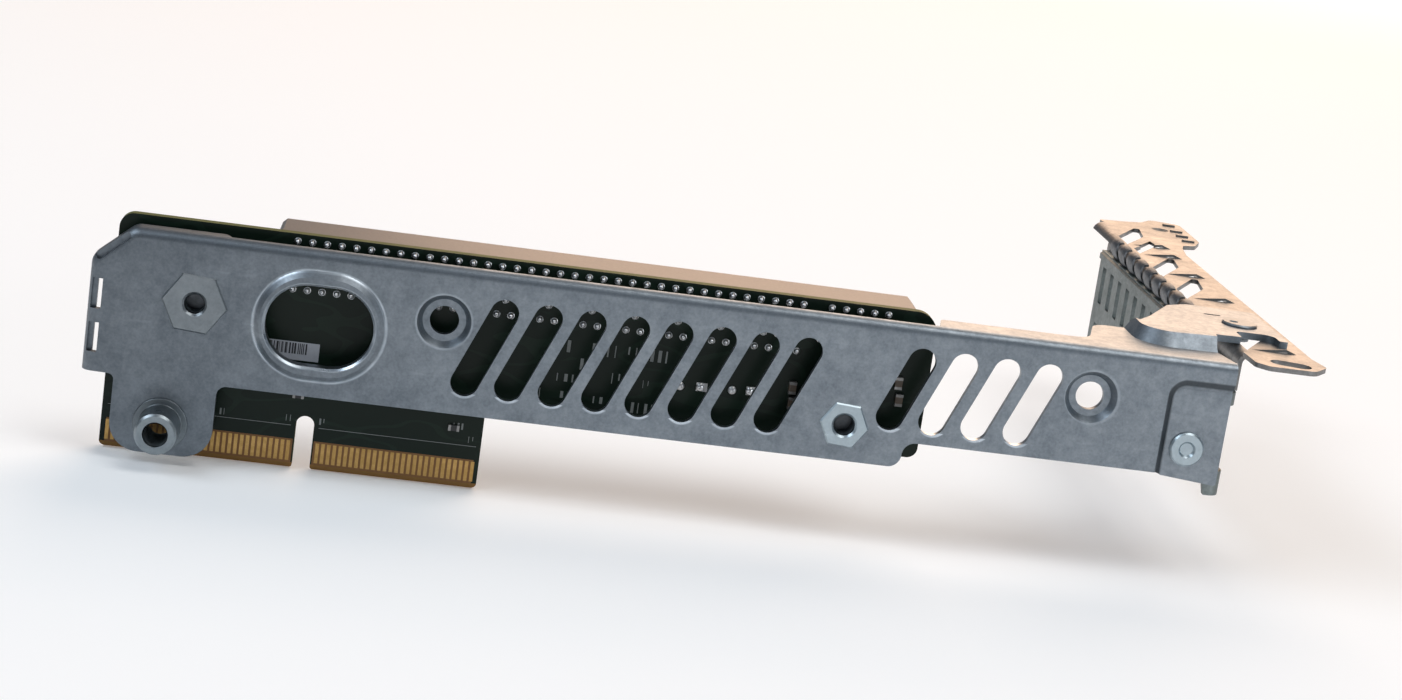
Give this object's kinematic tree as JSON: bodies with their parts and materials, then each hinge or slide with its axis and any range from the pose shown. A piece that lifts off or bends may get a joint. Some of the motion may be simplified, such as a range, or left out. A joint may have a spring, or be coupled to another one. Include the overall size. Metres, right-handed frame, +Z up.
{
  "type": "server riser card assembly",
  "caption": "Plug-in riser board with a card slot, held by a folded vented side bracket and a perforated rear bracket.",
  "frame": {"origin": "middle of the key notch at the lower edge of the plug-in board, at mid-thickness", "axes": "+X along the side wall towards the rear bracket, +Y from the side wall towards the slot mouth, +Z up from the plug edge"},
  "size_m": [0.1763, 0.1178, 0.0344],
  "materials": {
    "zinc_sheet": "matt galvanised sheet with faint mottling",
    "zinc_steel": "satin zinc plated",
    "spring_steel": "dark spring sheet",
    "board_green": "dark green solder mask",
    "slot_plastic": "moulded, matt",
    "gold": "gold plated contacts",
    "solder": "bright solder",
    "label_white": "matt label",
    "chip_tan": "matt ceramic",
    "chip_black": "matt ceramic"
  },
  "bodies": {
    "root": {"side_bracket": "zinc_sheet", "rear_bracket": "zinc_sheet", "vent_panel": "zinc_sheet", "contact_strip": "spring_steel", "riser_board": "board_green", "slot_housing": "slot_plastic", "slot_contacts_upper": "gold", "slot_contacts_lower": "gold", "solder_joints": "solder", "front_fingers": "gold", "back_fingers": "gold", "left_hex_standoff": "zinc_steel", "right_hex_standoff": "zinc_steel", "guide_standoff": "zinc_steel", "side_rivet": "zinc_steel", "top_rivet": "zinc_steel", "board_screws": "zinc_steel", "board_label": "label_white", "capacitors": "chip_tan", "resistors": "chip_black"}
  },
  "joints": []
}
